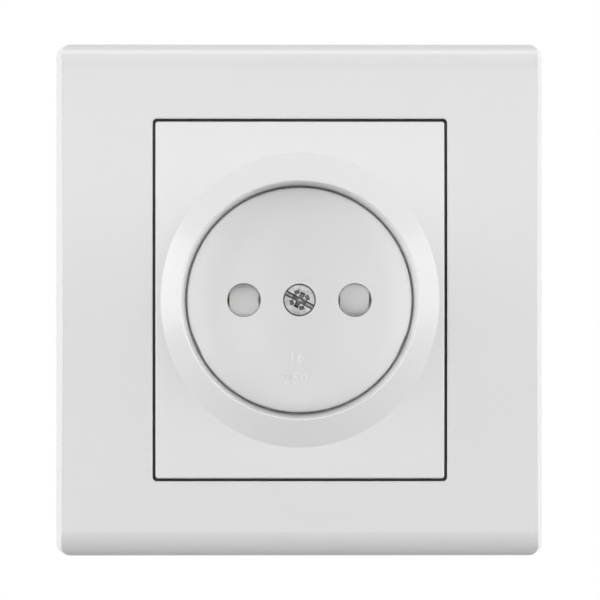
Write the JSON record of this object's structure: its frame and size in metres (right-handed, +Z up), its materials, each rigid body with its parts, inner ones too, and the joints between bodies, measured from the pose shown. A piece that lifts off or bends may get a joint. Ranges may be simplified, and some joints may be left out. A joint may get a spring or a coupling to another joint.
{
  "type": "wall socket",
  "caption": "Flush wall socket with a decorative frame, a collared round plug well, a sprung rotary shutter behind the pin holes, and a contact base on a steel strap with claws.",
  "frame": {"origin": "middle of the box-screw slots, on the wall plane behind the strap", "axes": "+X right and +Z up as seen from the front, +Y into the wall"},
  "size_m": [0.0834, 0.0329, 0.0874],
  "materials": {
    "white_plastic": "moulded, satin gloss",
    "shutter_plastic": "moulded, matt",
    "base_plastic": "moulded, matt",
    "zinc_steel": "zinc plated",
    "screw_steel": "nickel plated",
    "brass": "pressed, bright",
    "spring_steel": "drawn wire and strip"
  },
  "bodies": {
    "socket": {"outer_frame": "white_plastic", "cover_plate": "white_plastic", "face_insert": "white_plastic", "shutter_cover": "shutter_plastic", "base": "base_plastic", "mounting_strap": "zinc_steel", "strap_rivets": "zinc_steel", "centre_screw": "screw_steel", "left_terminal_screw": "screw_steel", "right_terminal_screw": "screw_steel", "centre_nut": "brass", "left_contact": "brass", "right_contact": "brass", "left_terminal": "brass", "right_terminal": "brass", "shutter_spring": "spring_steel", "left_contact_spring": "spring_steel", "right_contact_spring": "spring_steel"},
    "shutter": {"shutter": "shutter_plastic"},
    "upper_claw": {"upper_claw": "zinc_steel", "upper_claw_screw": "zinc_steel"},
    "lower_claw": {"lower_claw": "zinc_steel", "lower_claw_screw": "zinc_steel"}
  },
  "joints": [
    {"name": "shutter_turn", "type": "hinge", "parent": "socket", "child": "shutter", "pos_m": [0, 0, 0], "axis": [0, -1, 0], "range_deg": [0, 38], "stiffness_Nm_per_rad": 0.003, "springref_deg": -28.65, "deforming": ["shutter_spring"]},
    {"name": "upper_claw_swing", "type": "hinge", "parent": "socket", "child": "upper_claw", "pos_m": [0, -0.00274, 0.0246], "axis": [1, 0, 0], "range_deg": [0, 9]},
    {"name": "lower_claw_swing", "type": "hinge", "parent": "socket", "child": "lower_claw", "pos_m": [0, -0.00274, -0.0246], "axis": [-1, 0, 0], "range_deg": [0, 9]}
  ]
}
